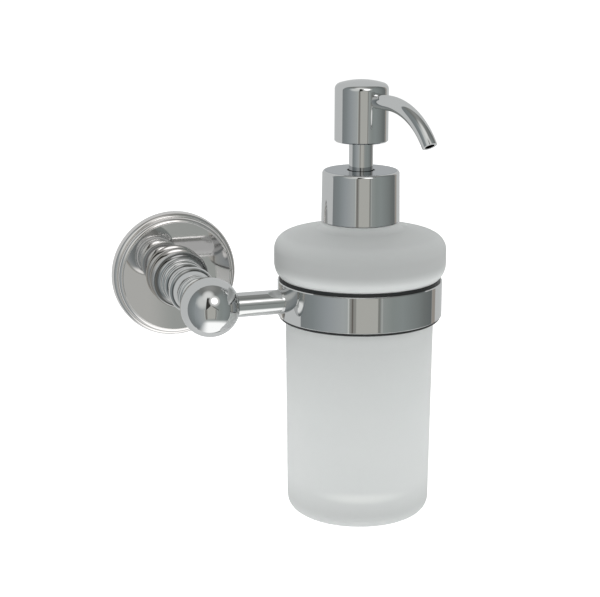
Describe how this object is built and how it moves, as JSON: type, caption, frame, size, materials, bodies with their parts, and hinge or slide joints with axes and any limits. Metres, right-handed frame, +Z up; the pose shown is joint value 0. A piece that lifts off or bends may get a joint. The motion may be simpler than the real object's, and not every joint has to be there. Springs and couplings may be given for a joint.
{
  "type": "wall mounted soap dispenser",
  "caption": "Chrome wall holder with a turned post, ball and side arm, whose ring carries a frosted glass bottle with a press-down liquid soap pump and curved spout.",
  "frame": {"origin": "centre of the wall bracket's rear face, on the wall, on the post's axis", "axes": "+Z up along the bottle, +Y into the wall, +X along the arm from the ball to the bottle"},
  "size_m": [0.1305, 0.1122, 0.187],
  "materials": {
    "chrome": "polished",
    "bracket_steel": "zinc plated",
    "screw_steel": "satin",
    "spring_steel": "polished stainless",
    "frosted_glass": "acid etched",
    "black_rubber": "matt",
    "white_plastic": "moulded",
    "natural_plastic": "extruded, milky",
    "seal_rubber": "soft white"
  },
  "bodies": {
    "holder": {"wall_bracket": "bracket_steel", "backplate": "chrome", "bracket_grub_screw": "screw_steel", "post_screw": "screw_steel", "post": "chrome", "post_stud": "screw_steel", "ball_end": "chrome", "arm_stud": "screw_steel", "arm": "chrome", "ring_screw": "screw_steel", "holder_ring": "chrome", "ring_liner": "black_rubber"},
    "bottle": {"glass_bottle": "frosted_glass"},
    "pump_body": {"neck_gasket": "seal_rubber", "pump_housing": "white_plastic", "inlet_cage": "white_plastic", "inlet_ball": "spring_steel", "housing_retainer": "white_plastic", "dip_tube": "natural_plastic", "return_spring": "spring_steel"},
    "collar": {"collar_shell": "chrome", "collar_insert": "white_plastic"},
    "plunger": {"piston_stem": "white_plastic", "piston_seal": "seal_rubber", "outlet_ball": "spring_steel"},
    "head": {"head_insert": "white_plastic", "rod_sleeve": "chrome", "pump_head": "chrome", "spout": "chrome"}
  },
  "joints": [
    {"name": "bottle_lift", "type": "slide", "parent": "holder", "child": "bottle", "axis": [0, 0, 1], "range_m": [0, 0.11]},
    {"name": "pump_rise", "type": "slide", "parent": "bottle", "child": "pump_body", "axis": [0, 0, 1], "range_m": [0, 0.0064]},
    {"name": "collar_turn", "type": "hinge", "parent": "pump_body", "child": "collar", "pos_m": [0.06585, -0.0665, 0.04], "axis": [0, 0, 1], "range_deg": [0, 540]},
    {"name": "pump_press", "type": "slide", "parent": "pump_body", "child": "plunger", "axis": [0, 0, -1], "range_m": [0, 0.0115], "stiffness_N_per_m": 600, "springref_m": -0.008, "deforming": ["return_spring"]},
    {"name": "spout_swivel", "type": "hinge", "parent": "plunger", "child": "head", "pos_m": [0.06585, -0.0665, 0.07], "axis": [0, 0, 1], "continuous": true}
  ],
  "couplings": [
    {"joint": "pump_rise", "follows": "collar_turn", "m_per_rad": 0.00066845}
  ]
}
